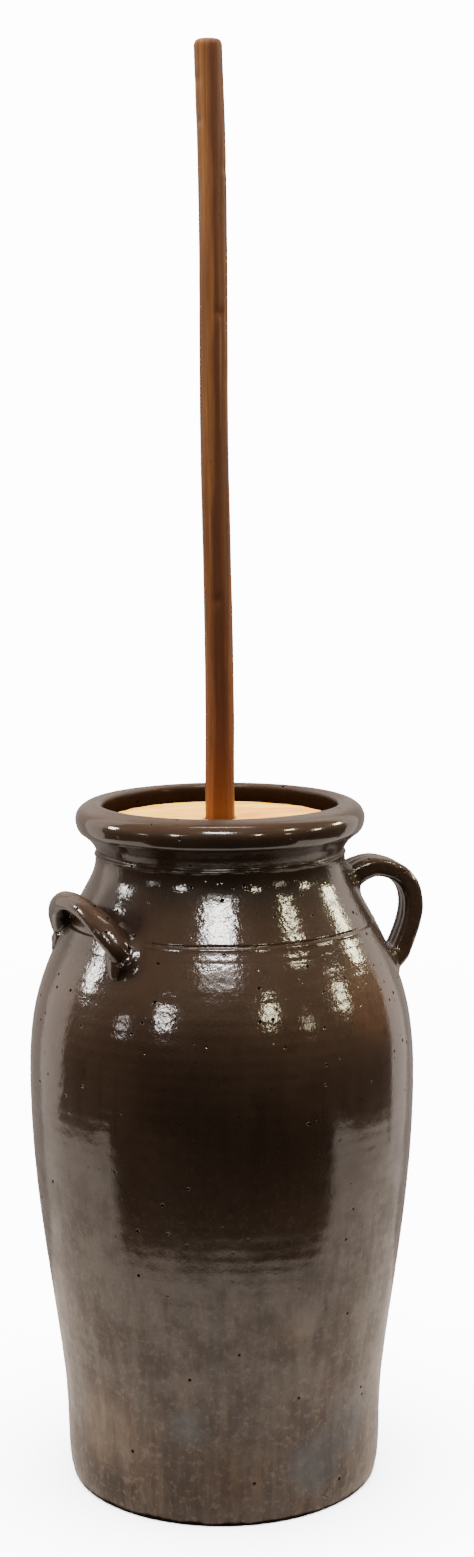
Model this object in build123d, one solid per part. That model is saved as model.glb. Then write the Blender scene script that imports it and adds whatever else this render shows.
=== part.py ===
from build123d import *
from math import cos, radians, sin
import os

# Stoneware butter churn with a wooden lid and a wooden dasher.
#
# A wheel-thrown jar stands on a flat foot. It has a vertical strap handle on one shoulder (+X) and a rolled
# lug handle, bent to an arch, on the other (near -X). A flat wooden lid drops onto a ledge inside the rolled
# rim, and the staff of the dasher comes up through the hole in the lid. The dasher stands on the floor of the
# jar on the head of the nail under its cross.
#
# Frame: millimetres, +Z up, origin at the centre of the foot. Each piece is written to parts/NAME.step.

# ---- jar ----
jar_height = 508.0
foot_radius = 113.0
foot_bevel = 2.5
foot_bevel_flare = 1.2
foot_bevel_bulge = 0.9
wall = 10.5
floor_thickness = 14.0
floor_fillet = 2.5
inner_foot_inset = 0.8

belly_radius = 141.7
belly_height = 294.0
neck_radius = 91.2
neck_bottom = 466.0

# the outer wall between the foot and the neck, as (radius, height)
wall_points = [
    (115.8, 12.0),
    (117.4, 56.0),
    (122.6, 108.0),
    (135.0, 200.0),
    (belly_radius, belly_height),
    (136.6, 361.0),
    (116.4, 413.0),
    (96.4, 450.0),
    (neck_radius, neck_bottom),
]
wall_start_direction = (0.10, 1)
wall_end_direction = (-0.12, 1)

# the short neck, which has a small step near its foot, and the underside of the rim, as (radius, height)
step_point = (91.5, 470.5)
neck_points = [
    (90.3, 472.8),
    (91.7, 475.4),
    (94.7, 480.0),
    (98.8, 484.0),
    (103.3, 487.5),
]
neck_start_direction = (0.3, 1)
neck_end_direction = (1, 0.6)

# rolled rim
rim_radius = 106.0
rim_widest_height = 496.0
rim_under_point = (105.2, 491.0)
rim_crest_radius = 91.5
mouth_radius = 84.8
ledge_height = 479.0
ledge_radius = 77.0
ledge_land = 6.0
lip_depth = 7.0

# ---- strap handle, on +X: the centre line's points as (radius, height) ----
strap_width = 26.0
strap_thickness = 14.0
strap_corner = 4.5
strap_points = [(88.0, 442.5), (115.5, 454.5), (138.8, 445.0), (145.7, 418.0), (137.0, 391.5), (118.0, 374.0)]
strap_start_direction = (1, 0, 0.5)
strap_end_direction = (-0.75, 0, -0.65)

# extra half width at places along a handle, from one end at 0 to the other at 1
strap_flares = [(0, 5.0), (0.2, 0.8), (0.5, 0), (0.8, 0.3), (1, 3.0)]
lug_flares = [(0, -0.5), (0.15, 2.6), (0.3, 1.0), (0.5, 0), (0.82, 0.8), (1, -0.5)]
flare_thickening = 0.6

# ---- lug handle, near -X: an arch on the shoulder in a plane that leans outwards ----
lug_width = 15.0
lug_thickness = 13.0
lug_turn = 15.0
lug_half_angle = 29.0
lug_end_radius = 113.0
lug_end_height = 404.0
lug_reach = 120.0
lug_top_height = 444.0

# ---- lid ----
lid_radius = 83.0
lid_thickness = 16.0
lid_chamfer = 1.2
lid_hole_radius = 11.5
cleat_length = 112.0
cleat_width = 18.0
cleat_thickness = 12.0
cleat_offset = 40.0
cleat_chamfer = 1.5
lid_nail_spacing = 40.0
lid_nail_bite = 10.0

# ---- dasher ----
staff_top = 1047.0
staff_radius = 10.6
grip_radius = 9.9
staff_taper_bottom = 520.0
staff_taper_top = 760.0
staff_end_round = 3.5
arm_length = 146.0
arm_width = 44.0
arm_thickness = 24.0
arm_chamfer = 1.5
arm_hole_radius = 7.0
arm_hole_offset = 46.0
tenon_radius = 8.0
washer_radius = 12.0
washer_thickness = 2.5
core_nail_radius = 1.8
core_nail_head_radius = 6.0
core_nail_head = 4.5
core_nail_head_chamfer = 0.8
core_nail_depth = 45.0
core_nail_hole_spare = 1.0
running_clearance = 0.05
lap_nail_offset = 15.0
lap_nail_cover = 4.0

# ---- common nail ----
nail_radius = 1.2
nail_head_radius = 2.8
nail_head = 0.8

# ---- heights that follow ----
washer_bottom = floor_thickness + core_nail_head
washer_top = washer_bottom + washer_thickness
arm_bottom = washer_top + running_clearance
arm_top = arm_bottom + arm_thickness
lid_bottom = ledge_height
lid_top = lid_bottom + lid_thickness

# how far a cutter runs past the surface that it opens
cutter_overrun = 5.0


def turned(*edges):
    """A solid turned about Z from a closed outline of (radius, height) edges."""
    return revolve(Plane.XZ * make_face(edges), Axis.Z)


def drilled(radius, bottom, top):
    """A round bar on the Z axis between two heights, used as a cutter or a pin."""
    return Pos(0, 0, bottom) * extrude(Circle(radius), top - bottom)


def block(length, width, bottom, top):
    """A rectangular bar centred on the Z axis, its length along X."""
    return Pos(0, 0, bottom) * extrude(Rectangle(length, width), top - bottom)


def outer_wall():
    """The curve of the outer wall from the foot to the neck."""
    return Spline(wall_points, tangents=[wall_start_direction, wall_end_direction])


def foot_edges():
    """Outline from the axis out along the foot and up to the start of the wall curve."""
    start = wall_points[0]
    bevel_start = (foot_radius - foot_bevel, 0)
    bevel_middle = (foot_radius, foot_bevel_bulge)
    bevel_top = (foot_radius + foot_bevel_flare, foot_bevel)
    return [
        Line((0, 0), bevel_start),
        ThreePointArc(bevel_start, bevel_middle, bevel_top),
        Line(bevel_top, start),
    ]


def rim_edges():
    """Outline from the top of the wall curve over the step, the neck and the rolled rim to the mouth."""
    widest = (rim_radius, rim_widest_height)
    roll_width = rim_radius - rim_crest_radius
    lip_width = rim_crest_radius - mouth_radius
    return [
        Line(wall_points[-1], step_point),
        Line(step_point, neck_points[0]),
        Spline(neck_points, tangents=[neck_start_direction, neck_end_direction]),
        ThreePointArc(neck_points[-1], rim_under_point, widest),
        rim_quarter(roll_width, jar_height - rim_widest_height, 0),
        rim_quarter(lip_width, lip_depth, 90),
    ]


def rim_quarter(width, height, start):
    """A quarter of an ellipse with its top on the rim's crest, outwards from 0 or inwards from 90 degrees."""
    centre = (rim_crest_radius, jar_height - height)
    return EllipticalCenterArc(centre, width, height, start, arc_size=90)


def closing_line(edges):
    """A straight edge back to the axis from the end of an outline, and one down the axis."""
    last = edges[-1] @ 1
    top = (0, last.Y)
    return [Line((last.X, last.Y), top), Line(top, (0, 0))]


def jar_envelope():
    """The jar as if it were solid clay."""
    edges = [*foot_edges(), outer_wall(), *rim_edges()]
    return turned(*edges, *closing_line(edges))


def jar_hollow():
    """The space inside the jar, from the floor up through the ledge and the mouth."""
    inner = [(radius - wall, height) for radius, height in wall_points[1:]]
    foot_inside = inner[0][0] - inner_foot_inset
    bend = floor_fillet * (1 - cos(radians(45)))
    fillet_start = (foot_inside - floor_fillet, floor_thickness)
    fillet_middle = (foot_inside - bend, floor_thickness + bend)
    fillet_end = (foot_inside, floor_thickness + floor_fillet)
    land = (ledge_radius, ledge_height - ledge_land)
    above = jar_height + cutter_overrun
    corners = [
        land,
        (ledge_radius, ledge_height),
        (mouth_radius, ledge_height),
        (mouth_radius, above),
        (0, above),
        (0, floor_thickness),
        fillet_start,
    ]
    edges = [Line(a, b) for a, b in zip(corners, corners[1:])]
    edges += [
        ThreePointArc(fillet_start, fillet_middle, fillet_end),
        Spline([fillet_end, *inner, land], tangents=[(0, 1), (0, 1)]),
    ]
    return turned(*edges)


def flared_bar(path, sideways, profile, flares):
    """A bar along a path, wider and a little thicker where it meets the jar. profile(flare) is its section."""
    sections = [
        Plane(origin=path @ at, x_dir=sideways, z_dir=path % at) * profile(flare)
        for at, flare in flares
    ]
    return sweep(sections, path=path, multisection=True)


def strap_section(flare):
    """A flat bar with rounded corners, its width along X."""
    thickness = strap_thickness + 2 * flare_thickening * flare
    return RectangleRounded(strap_width + 2 * flare, thickness, strap_corner)


def lug_section(flare):
    """An oval roll, its width along X."""
    return Ellipse(lug_width / 2 + flare, lug_thickness / 2 + flare_thickening * flare)


def outside_jar(bar, envelope):
    """The part of a handle outside the jar's wall, so that its ends fit the wall exactly."""
    return (bar - envelope).solids().sort_by(SortBy.VOLUME)[-1]


def strap_handle(envelope):
    """The vertical handle: a strap that leaves the base of the neck, bows out and meets the shoulder again."""
    points = [(radius, 0, height) for radius, height in strap_points]
    path = Spline(points, tangents=[strap_start_direction, strap_end_direction])
    return outside_jar(flared_bar(path, (0, 1, 0), strap_section, strap_flares), envelope)


def lug_handle(envelope):
    """The horizontal handle: a roll bent to an arch, its ends on the shoulder and its middle out and up."""
    end_x = -lug_end_radius * cos(radians(lug_half_angle))
    end_y = lug_end_radius * sin(radians(lug_half_angle))
    top = (-lug_reach, 0, lug_top_height)
    path = ThreePointArc((end_x, -end_y, lug_end_height), top, (end_x, end_y, lug_end_height))
    across = Vector(lug_top_height - lug_end_height, 0, end_x + lug_reach)
    roll = flared_bar(path, across, lug_section, lug_flares)
    return outside_jar(Rot(0, 0, lug_turn) * roll, envelope)


def nail(head_height, point_height):
    """A nail on the Z axis with its head at one height and its point at another."""
    up = 1 if point_height > head_height else -1
    neck_height = head_height + up * nail_head
    head = Pos(0, 0, head_height) * extrude(Circle(nail_head_radius), up * nail_head)
    shank = Pos(0, 0, neck_height) * extrude(Circle(nail_radius), point_height - neck_height)
    return head + shank


def lid_nails():
    """Six nails driven up through the two cleats into the lid."""
    head_height = lid_bottom - cleat_thickness - nail_head
    places = [
        Pos(x, side * cleat_offset, 0)
        for side in (-1, 1)
        for x in (-lid_nail_spacing, 0, lid_nail_spacing)
    ]
    return [place * nail(head_height, lid_bottom + lid_nail_bite) for place in places]


def lid_disc(nails):
    """The flat round lid with a loose hole for the staff."""
    disc = chamfer(drilled(lid_radius, lid_bottom, lid_top).edges(), lid_chamfer)
    disc -= drilled(lid_hole_radius, lid_bottom, lid_top)
    for one in nails:
        disc -= one
    return disc


def lid_cleat(side, nails):
    """One of the two battens under the lid, each side of the staff hole."""
    bar = block(cleat_length, cleat_width, lid_bottom - cleat_thickness, lid_bottom)
    under = bar.faces().sort_by(Axis.Z)[0].edges()
    bar = Pos(0, side * cleat_offset, 0) * chamfer(under, cleat_chamfer)
    for one in nails:
        bar -= one
    return bar


def staff():
    """The staff: a tenon through the cross, a shoulder on top of it, and a long shaft with a rounded end."""
    rounding = staff_end_round * (1 - cos(radians(45)))
    end = (grip_radius, staff_top - staff_end_round)
    end_middle = (grip_radius - rounding, staff_top - rounding)
    tip = (grip_radius - staff_end_round, staff_top)
    corners = [
        (0, arm_bottom),
        (tenon_radius, arm_bottom),
        (tenon_radius, arm_top),
        (staff_radius, arm_top),
        (staff_radius, staff_taper_bottom),
        (grip_radius, staff_taper_top),
        end,
    ]
    outline = [Line(a, b) for a, b in zip(corners, corners[1:])]
    top = (0, staff_top)
    outline += [ThreePointArc(end, end_middle, tip), Line(tip, top), Line(top, corners[0])]
    hole_top = arm_bottom + core_nail_depth + core_nail_hole_spare
    return turned(*outline) - drilled(core_nail_radius + running_clearance, arm_bottom, hole_top)


def lap_nails():
    """Four nails that hold the two arms of the cross together at the lap."""
    sides = (-lap_nail_offset, lap_nail_offset)
    return [Pos(x, y, 0) * nail(arm_top, arm_bottom + lap_nail_cover) for x in sides for y in sides]


def cross_arm(upper, nails):
    """One bar of the cross. The upper one lies along X and keeps the top of the lap, the lower one along Y."""
    middle = 0.5 * (arm_bottom + arm_top)
    bar = block(arm_length, arm_width, arm_bottom, arm_top) & drilled(arm_length / 2, arm_bottom, arm_top)
    bar = chamfer(bar.edges().filter_by(Axis.Z, reverse=True), arm_chamfer)
    lap_bottom, lap_top = (arm_bottom, middle) if upper else (middle, arm_top)
    bar -= block(arm_width, arm_width, lap_bottom, lap_top)
    for x in (-arm_hole_offset, arm_hole_offset):
        bar -= Pos(x, 0, 0) * drilled(arm_hole_radius, arm_bottom, arm_top)
    bar -= drilled(tenon_radius, arm_bottom, arm_top)
    if not upper:
        bar = Rot(0, 0, 90) * bar
    for one in nails:
        bar -= one
    return bar


def dasher_washer():
    """The round washer under the cross."""
    disc = drilled(washer_radius, washer_bottom, washer_top)
    return disc - drilled(core_nail_radius, washer_bottom, washer_top)


def core_nail():
    """The thick-headed nail on the dasher's axis, up through the washer into the end of the staff."""
    head = drilled(core_nail_head_radius, floor_thickness, washer_bottom)
    head = chamfer(head.edges().sort_by(Axis.Z)[0], core_nail_head_chamfer)
    return head + drilled(core_nail_radius, washer_bottom, arm_bottom + core_nail_depth)


def main():
    envelope = jar_envelope()
    in_lid = lid_nails()
    in_lap = lap_nails()
    parts = {
        "jar_body": envelope - jar_hollow(),
        "strap_handle": strap_handle(envelope),
        "lug_handle": lug_handle(envelope),
        "lid_disc": lid_disc(in_lid),
        "lid_cleat_front": lid_cleat(-1, in_lid),
        "lid_cleat_back": lid_cleat(1, in_lid),
        "lid_nails": Compound(children=in_lid),
        "dasher_staff": staff(),
        "dasher_upper_arm": cross_arm(True, in_lap),
        "dasher_lower_arm": cross_arm(False, in_lap),
        "dasher_lap_nails": Compound(children=in_lap),
        "dasher_washer": dasher_washer(),
        "dasher_core_nail": core_nail(),
    }
    os.makedirs("parts", exist_ok=True)
    for name, shape in parts.items():
        export_step(shape, f"parts/{name}.step")
    litres = (jar_hollow() & drilled(belly_radius, 0, ledge_height)).volume / 1e6
    print("capacity up to the lid's ledge, litres:", round(litres, 2))


main()
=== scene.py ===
from math import atan2, cos, exp, hypot, pi, radians, sin

import bmesh
import bpy
from mathutils import Matrix, Vector, kdtree, noise


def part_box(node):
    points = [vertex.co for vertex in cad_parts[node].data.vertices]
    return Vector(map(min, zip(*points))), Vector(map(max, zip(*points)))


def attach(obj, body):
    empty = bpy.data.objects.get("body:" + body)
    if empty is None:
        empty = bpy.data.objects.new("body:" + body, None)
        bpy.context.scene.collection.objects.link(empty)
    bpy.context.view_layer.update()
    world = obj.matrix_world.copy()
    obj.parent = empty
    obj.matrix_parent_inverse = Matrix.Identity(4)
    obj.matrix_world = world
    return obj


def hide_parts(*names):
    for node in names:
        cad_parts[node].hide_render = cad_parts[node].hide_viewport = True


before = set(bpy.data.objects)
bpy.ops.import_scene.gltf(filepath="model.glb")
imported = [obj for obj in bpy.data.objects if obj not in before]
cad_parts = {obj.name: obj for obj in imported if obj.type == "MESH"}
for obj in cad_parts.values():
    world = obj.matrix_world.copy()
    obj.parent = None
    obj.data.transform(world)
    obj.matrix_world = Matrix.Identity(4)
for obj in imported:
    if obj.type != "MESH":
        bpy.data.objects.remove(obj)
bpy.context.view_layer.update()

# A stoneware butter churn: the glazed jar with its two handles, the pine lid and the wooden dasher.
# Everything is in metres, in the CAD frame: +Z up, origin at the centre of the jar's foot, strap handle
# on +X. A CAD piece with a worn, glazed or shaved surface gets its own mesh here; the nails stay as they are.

MM = 0.001

# ---- sizes that follow from the CAD pieces ----
LID_LOW, LID_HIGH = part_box("lid_disc")
STAFF_LOW, STAFF_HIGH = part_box("dasher_staff")
ARM_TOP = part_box("dasher_upper_arm")[1].z
JAR_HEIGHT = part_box("jar_body")[1].z
FLOOR_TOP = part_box("dasher_core_nail")[0].z
LEDGE = LID_LOW.z
LID_RADIUS = LID_HIGH.y
STAFF_RADIUS = STAFF_HIGH.x
STAFF_TOP = STAFF_HIGH.z
LID_TOP = LID_HIGH.z

# ---- the jar's rim and wall ----
WALL = 10.5 * MM
NECK_FOOT = 466 * MM
NECK_TOP = 487.5 * MM
RIM_RADIUS = 106 * MM
RIM_WIDEST = 496 * MM
CREST_RADIUS = 91.5 * MM
LIP_DEPTH = 7 * MM
MOUTH_RADIUS = LID_RADIUS + 1.8 * MM
LEDGE_RADIUS = LID_RADIUS - 6 * MM
FLOOR_FILLET = 2.5 * MM
LEDGE_EDGE = 1.5 * MM
INNER_STEP = 7 * MM
INNER_LOWEST = 50 * MM
FOOT_TOP = 6 * MM
FOOT_WIDTH = 3.5 * MM
FOOT_RISE = 0.6 * MM
AXIS_GAP = 0.4 * MM
JAR_SEGMENTS = 256

# the neck from its foot up under the roll of the rim, as (radius, height) in millimetres
NECK_CURVE = [
    (91.1, 464.0),
    (91.3, 467.5),
    (91.6, 470.6),
    (90.4, 472.8),
    (91.7, 475.4),
    (94.7, 480.0),
    (98.8, 484.0),
    (103.3, 487.5),
    (105.2, 491.0),
    (106.0, 496.0),
    (105.4, 499.0),
]

# ---- marks in the clay, as heights on the outer wall ----
INCISED_LINE = 421.5 * MM
FAINT_LINE = 411 * MM
NECK_STEP = 470.8 * MM


# ======== small helpers ========

def fractal(point, scale, octaves=2):
    """Smooth noise from about -1 to 1 at a point, with features about 1/scale metres across."""
    return noise.fractal(Vector(point) * scale, 1.0, 2.0, octaves)


def bell(x, width):
    """A smooth bump of height 1 at x = 0 that fades out within about two widths."""
    return exp(-(x / width) ** 2)


def ramp(x, low, high):
    """0 below low, 1 above high and smooth in between."""
    t = min(max((x - low) / (high - low), 0.0), 1.0)
    return t * t * (3 - 2 * t)


def new_object(name, verts, faces):
    """A smooth-shaded mesh object."""
    mesh = bpy.data.meshes.new(name)
    mesh.from_pydata(verts, [], faces)
    mesh.update()
    return show(name, mesh)


def show(name, mesh):
    """Links a mesh to the scene as a smooth-shaded object."""
    piece = bpy.data.objects.new(name, mesh)
    bpy.context.scene.collection.objects.link(piece)
    mesh.polygons.foreach_set("use_smooth", [True] * len(mesh.polygons))
    return piece


def grid_faces(rows, columns, closed):
    """Quads between the points of a grid stored row by row. A closed one joins its last and first columns."""
    faces = []
    last = columns if closed else columns - 1
    for row in range(rows - 1):
        for column in range(last):
            beside = (column + 1) % columns
            low, high = row * columns, (row + 1) * columns
            faces.append((low + column, low + beside, high + beside, high + column))
    return faces


def apply_modifiers(piece):
    """Replaces a piece's mesh by the mesh that its modifiers give."""
    bpy.context.view_layer.update()
    evaluated = piece.evaluated_get(bpy.context.evaluated_depsgraph_get())
    mesh = bpy.data.meshes.new_from_object(evaluated)
    piece.modifiers.clear()
    piece.data = mesh
    mesh.polygons.foreach_set("use_smooth", [True] * len(mesh.polygons))


def remesh(piece, voxel, smooth_steps):
    """Fuses a piece's overlapping shells into one skin of even quads and melts its sharp creases."""
    fused = piece.modifiers.new("fuse", "REMESH")
    fused.mode = "VOXEL"
    fused.voxel_size = voxel
    melt = piece.modifiers.new("melt", "SMOOTH")
    melt.factor = 0.5
    melt.iterations = smooth_steps
    apply_modifiers(piece)


def push(piece, depth):
    """Moves each vertex along its normal by depth(point, normal)."""
    moves = [vertex.normal * depth(vertex.co, vertex.normal) for vertex in piece.data.vertices]
    for vertex, move in zip(piece.data.vertices, moves):
        vertex.co += move
    piece.data.update()


def cad_copy(name, node):
    """A new object with a copy of a CAD node's mesh, its split vertices welded."""
    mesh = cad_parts[node].data.copy()
    mesh.materials.clear()
    work = bmesh.new()
    work.from_mesh(mesh)
    bmesh.ops.remove_doubles(work, verts=work.verts, dist=0.002 * MM)
    work.to_mesh(mesh)
    work.free()
    return show(name, mesh)


# ======== the jar ========

def measure_wall():
    """(heights, radii) of the outer wall below the rim, from the corners of the CAD mesh."""
    found = {}
    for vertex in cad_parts["jar_body"].data.vertices:
        radial = Vector((vertex.co.x, vertex.co.y, 0))
        if vertex.co.z < NECK_FOOT + 0.1 * MM and vertex.normal.dot(radial) > 0.5 * radial.length:
            found[round(vertex.co.z, 4)] = radial.length
    heights = sorted(found)
    return heights, [found[height] for height in heights]


WALL_HEIGHTS, WALL_RADII = measure_wall()


def wall_radius(height):
    """The CAD outer radius at a height below the neck."""
    if height <= WALL_HEIGHTS[0]:
        return WALL_RADII[0]
    if height >= WALL_HEIGHTS[-1]:
        return WALL_RADII[-1]
    low, high = 0, len(WALL_HEIGHTS) - 1
    while high - low > 1:
        middle = (low + high) // 2
        low, high = (middle, high) if WALL_HEIGHTS[middle] <= height else (low, middle)
    share = (height - WALL_HEIGHTS[low]) / (WALL_HEIGHTS[high] - WALL_HEIGHTS[low])
    return WALL_RADII[low] + share * (WALL_RADII[high] - WALL_RADII[low])


def smooth_radius(height, reach=6 * MM):
    """The outer radius averaged over a short stretch, so that the mesh's corners don't show in the gloss."""
    steps = (-1.0, -0.5, 0.0, 0.5, 1.0)
    weights = (1, 3, 4, 3, 1)
    total = sum(weight * wall_radius(height + step * reach) for step, weight in zip(steps, weights))
    return total / sum(weights)


def arc(centre, width, height, start, end, steps):
    """Points of an ellipse's arc as (radius, height), the start left out."""
    turns = [radians(start + (end - start) * step / steps) for step in range(1, steps + 1)]
    return [(centre[0] + width * cos(turn), centre[1] + height * sin(turn)) for turn in turns]


def line(start, end, steps):
    """Points along a straight line, the start left out."""
    shares = [step / steps for step in range(1, steps + 1)]
    return [tuple(a + (b - a) * share for a, b in zip(start, end)) for share in shares]


def spline_weights(t):
    """The shares of four neighbouring points in a Catmull-Rom curve between the middle two."""
    before = -t + 2 * t ** 2 - t ** 3
    start = 2 - 5 * t ** 2 + 3 * t ** 3
    end = t + 4 * t ** 2 - 3 * t ** 3
    after = t ** 3 - t ** 2
    return [0.5 * weight for weight in (before, start, end, after)]


def curve_through(points, steps):
    """Points of a smooth curve that passes through all the given ones but the first and the last."""
    curve = []
    for corners in zip(points, points[1:], points[2:], points[3:]):
        for step in range(1, steps + 1):
            shares = spline_weights(step / steps)
            curve.append(tuple(sum(share * c[axis] for share, c in zip(shares, corners)) for axis in (0, 1)))
    return curve


def wall_heights():
    """Heights of the wall's rings from the foot to the neck, closer together at the marks in the clay."""
    coarse, fine, reach = 2.3 * MM, 0.5 * MM, 3 * MM
    heights = []
    height = FOOT_TOP
    while height < NECK_FOOT:
        heights.append(height)
        nearest = min(abs(height - mark) for mark in (INCISED_LINE, FAINT_LINE))
        height += fine if nearest < reach else coarse
    return heights


def foot_outline(foot):
    """From the middle of the slightly hollow base, out over its ring and up round the edge of the foot."""
    ring = foot - FOOT_WIDTH
    points = [(AXIS_GAP, FOOT_RISE)]
    points += line(points[-1], (foot - 9 * MM, FOOT_RISE), 12)
    points += line(points[-1], (foot - 7 * MM, 0), 2)
    points += line(points[-1], (ring, 0), 3)
    return points + arc((ring, 4 * MM), 3.3 * MM, 4 * MM, -90, 0, 6)


def rim_outline():
    """Up and over the roll of the rim, down into the mouth and in over the ledge for the lid."""
    crest = (CREST_RADIUS, RIM_WIDEST)
    lip = (CREST_RADIUS, JAR_HEIGHT - LIP_DEPTH)
    ledge_edge = LEDGE_RADIUS + LEDGE_EDGE
    points = arc(crest, RIM_RADIUS - CREST_RADIUS, JAR_HEIGHT - RIM_WIDEST, 0, 90, 22)
    points += arc(lip, CREST_RADIUS - MOUTH_RADIUS, LIP_DEPTH, 90, 180, 9)
    points += line(points[-1], (MOUTH_RADIUS, LEDGE + 1 * MM), 10)
    points += line(points[-1], (MOUTH_RADIUS - 1 * MM, LEDGE), 2)
    points += line(points[-1], (ledge_edge, LEDGE), 3)
    return points + arc((ledge_edge, LEDGE - 2 * LEDGE_EDGE), -LEDGE_EDGE, 2 * LEDGE_EDGE, 90, 0, 4)


def inside_outline():
    """Down the inner wall from the neck and in over the floor."""
    wall = []
    height = NECK_FOOT
    while height > INNER_LOWEST:
        wall.append((smooth_radius(height) - WALL, height))
        height -= INNER_STEP
    fillet_centre = (wall[-1][0] - FLOOR_FILLET, FLOOR_TOP + FLOOR_FILLET)
    points = wall + arc(fillet_centre, FLOOR_FILLET, FLOOR_FILLET, 0, -90, 8)
    return points + line(points[-1], (AXIS_GAP, FLOOR_TOP), 10)


def jar_outline():
    """The jar's section as (radius, height) points, from the middle of the base to that of the floor."""
    outside = [(smooth_radius(height), height) for height in wall_heights()]
    neck = [(radius * MM, height * MM) for radius, height in curve_through(NECK_CURVE, 7)]
    rim = rim_outline()
    inside = inside_outline()
    return foot_outline(outside[0][0]) + outside + neck + rim + line(rim[-1], inside[0], 3) + inside[1:]


def throwing_rings(angle, height):
    """The low spiral ridges that the potter's fingers left, uneven and partly wiped away."""
    spiral = 2 * pi * height / (9.5 * MM) + angle
    where = (0.2 * cos(angle), 0.2 * sin(angle), height)
    sway = 2.5 * fractal((0, 0, height), 22)
    strength = 0.35 + 0.65 * ramp(fractal(where, 7), -0.3, 0.5)
    return 0.055 * MM * strength * sin(spiral + sway)


def clay_marks(angle, height):
    """The incised line on the shoulder, the fainter one below it, and the ragged step at the neck."""
    around = (0.09 * cos(angle), 0.09 * sin(angle), 0)
    drift = 0.5 * MM * fractal(around, 18)
    above_line = height - INCISED_LINE - drift
    incised = -0.75 * MM * bell(above_line, 0.8 * MM)
    lip = 0.30 * MM * bell(above_line + 1.8 * MM, 1.0 * MM)
    faint = -0.10 * MM * bell(height - FAINT_LINE - 2 * drift, 1.2 * MM)
    ragged = 0.5 + 0.5 * fractal(around, 130, 3)
    step = NECK_STEP + 1.0 * MM * fractal(around, 45, 3)
    ridge = (0.10 + 0.75 * ragged) * MM * bell(height - step, 1.0 * MM)
    return incised + lip + faint + ridge


def hand_made(angle, height):
    """Slow unevenness of a wall raised by hand: a little out of round, with broad shallow dents."""
    where = (cos(angle), sin(angle), 4 * height)
    oval = 0.35 * MM * cos(2 * angle + 0.7)
    fade = ramp(JAR_HEIGHT - height, 20 * MM, 90 * MM)
    return fade * oval + 0.35 * MM * fractal(where, 1.3)


def jar_surface(angle, radius, height, outside):
    """One point of the jar's skin. The marks are on the outer wall; rim and inside are only uneven."""
    uneven = 0.07 * MM * fractal((radius * cos(angle), radius * sin(angle), height), 60)
    if outside:
        uneven += throwing_rings(angle, height) + clay_marks(angle, height) + hand_made(angle, height)
    radius += uneven * ramp(height, 0, 8 * MM) if outside else uneven * ramp(radius, 0, 30 * MM)
    return (radius * cos(angle), radius * sin(angle), height)


def build_jar():
    """The thrown jar as one closed turned skin."""
    outline = jar_outline()
    verts = []
    for index, (radius, height) in enumerate(outline):
        rising = index > 0 and height > outline[index - 1][1] - 1e-6
        outside = rising and 4 * MM < height < NECK_TOP and radius > smooth_radius(height) - 2 * MM
        for step in range(JAR_SEGMENTS):
            verts.append(jar_surface(2 * pi * step / JAR_SEGMENTS, radius, height, outside))
    faces = grid_faces(len(outline), JAR_SEGMENTS, True)
    faces.append(tuple(reversed(range(JAR_SEGMENTS))))
    last = (len(outline) - 1) * JAR_SEGMENTS
    faces.append(tuple(range(last, last + JAR_SEGMENTS)))
    jar = new_object("glazed_jar", verts, faces)
    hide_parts("jar_body")
    return finish_piece(jar, "jar", GLAZE)


# ======== the handles ========

def contact_points(handle):
    """The points of a handle that lie on the jar's wall."""
    found = []
    for vertex in handle.data.vertices:
        if abs(hypot(vertex.co.x, vertex.co.y) - wall_radius(vertex.co.z)) < 0.4 * MM:
            found.append(vertex.co.copy())
    return found


def split_roots(points, first):
    """A handle's contact points as its two roots, parted by a rule that picks the first."""
    return [p for p in points if first(p)], [p for p in points if not first(p)]


def wall_normal(height):
    """How much of the wall's outward normal is radial and how much is upward, at a height."""
    slope = (smooth_radius(height + 2 * MM) - smooth_radius(height - 2 * MM)) / (4 * MM)
    size = hypot(1, slope)
    return 1 / size, -slope / size


def root_angles(root):
    """The middle of a root's angles about the Z axis, and half their range."""
    angles = [atan2(point.y, point.x) % (2 * pi) for point in root]
    if max(angles) - min(angles) > pi:
        angles = [angle - 2 * pi if angle > pi else angle for angle in angles]
    return 0.5 * (max(angles) + min(angles)), 0.5 * (max(angles) - min(angles))


def shell_faces(rows, columns):
    """The faces that close an outer and an inner grid of points into one thin shell."""
    faces = grid_faces(rows, columns, False)
    count = rows * columns
    faces += [tuple(count + index for index in reversed(face)) for face in faces]
    rim = [*range(columns), *range(2 * columns - 1, count, columns)]
    rim += [*range(count - 2, count - columns - 1, -1), *range(count - 2 * columns, 0, -columns)]
    return faces + [(b, a, a + count, b + count) for a, b in zip(rim, rim[1:] + rim[:1])]


def nearest_finder(points):
    """A tree that finds the nearest of the points."""
    tree = kdtree.KDTree(len(points))
    for index, point in enumerate(points):
        tree.insert(point, index)
    tree.balance()
    return tree


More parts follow.
